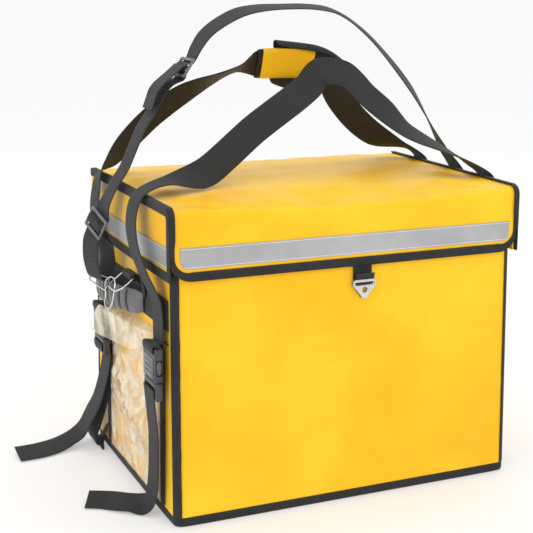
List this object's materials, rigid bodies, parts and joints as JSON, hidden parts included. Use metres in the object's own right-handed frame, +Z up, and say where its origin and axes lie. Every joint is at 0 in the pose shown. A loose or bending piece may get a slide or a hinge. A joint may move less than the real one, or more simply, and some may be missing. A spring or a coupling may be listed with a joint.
{
  "type": "insulated delivery bag",
  "caption": "Padded box-shaped delivery bag with a fold-down lid, reflective bands, webbing carry handles, a shoulder strap, a side grip and a clear side pocket.",
  "frame": {"origin": "middle of the body's flat bottom, where the bag stands", "axes": "+Z up, +X along the long front, the front faces -Y, the side with the pocket and buckles faces -X"},
  "size_m": [0.6148, 0.3383, 0.6113],
  "materials": {
    "tarpaulin": "satin coated cloth, fine weave",
    "webbing": "matt ribbed webbing",
    "tape": "matt binding tape",
    "reflective": "silver-grey retroreflective tape",
    "moulded": "satin moulded",
    "rubber": "satin soft moulding",
    "chrome": "bright plated",
    "film": "clear creased film"
  },
  "bodies": {
    "root": {"body_shell": "tarpaulin", "lid_panel": "tarpaulin", "lid_flap_left": "tarpaulin", "lid_flap_right": "tarpaulin", "handle_wrap": "tarpaulin", "bottom_tape": "tape", "corner_tape_front_left": "tape", "corner_tape_front_right": "tape", "corner_tape_back_left": "tape", "corner_tape_back_right": "tape", "lid_front_hem": "tape", "lid_hem_left": "tape", "lid_hem_right": "tape", "lid_piping_left": "tape", "lid_piping_right": "tape", "pocket_tape_front": "tape", "pocket_tape_back": "tape", "wrap_binding_left": "tape", "wrap_binding_right": "tape", "reflector_front": "reflective", "reflector_left": "reflective", "reflector_right": "reflective", "side_band_left": "webbing", "side_band_right": "webbing", "handle_front": "webbing", "handle_back": "webbing", "lower_strap_front": "webbing", "lower_strap_back": "webbing", "shoulder_strap": "webbing", "shoulder_tail": "webbing", "ring_tab": "webbing", "pull_tab": "webbing", "wrap_flap_upper": "webbing", "wrap_flap_lower": "webbing", "side_grip": "rubber", "buckle_front_socket": "moulded", "buckle_front_plug": "moulded", "buckle_back_socket": "moulded", "buckle_back_plug": "moulded", "lower_slider": "moulded", "upper_slider": "moulded", "d_ring": "chrome", "strap_ring": "chrome", "snap_hook": "chrome", "pull_plate": "chrome", "pocket_film": "film", "pocket_flap": "film"}
  },
  "joints": []
}
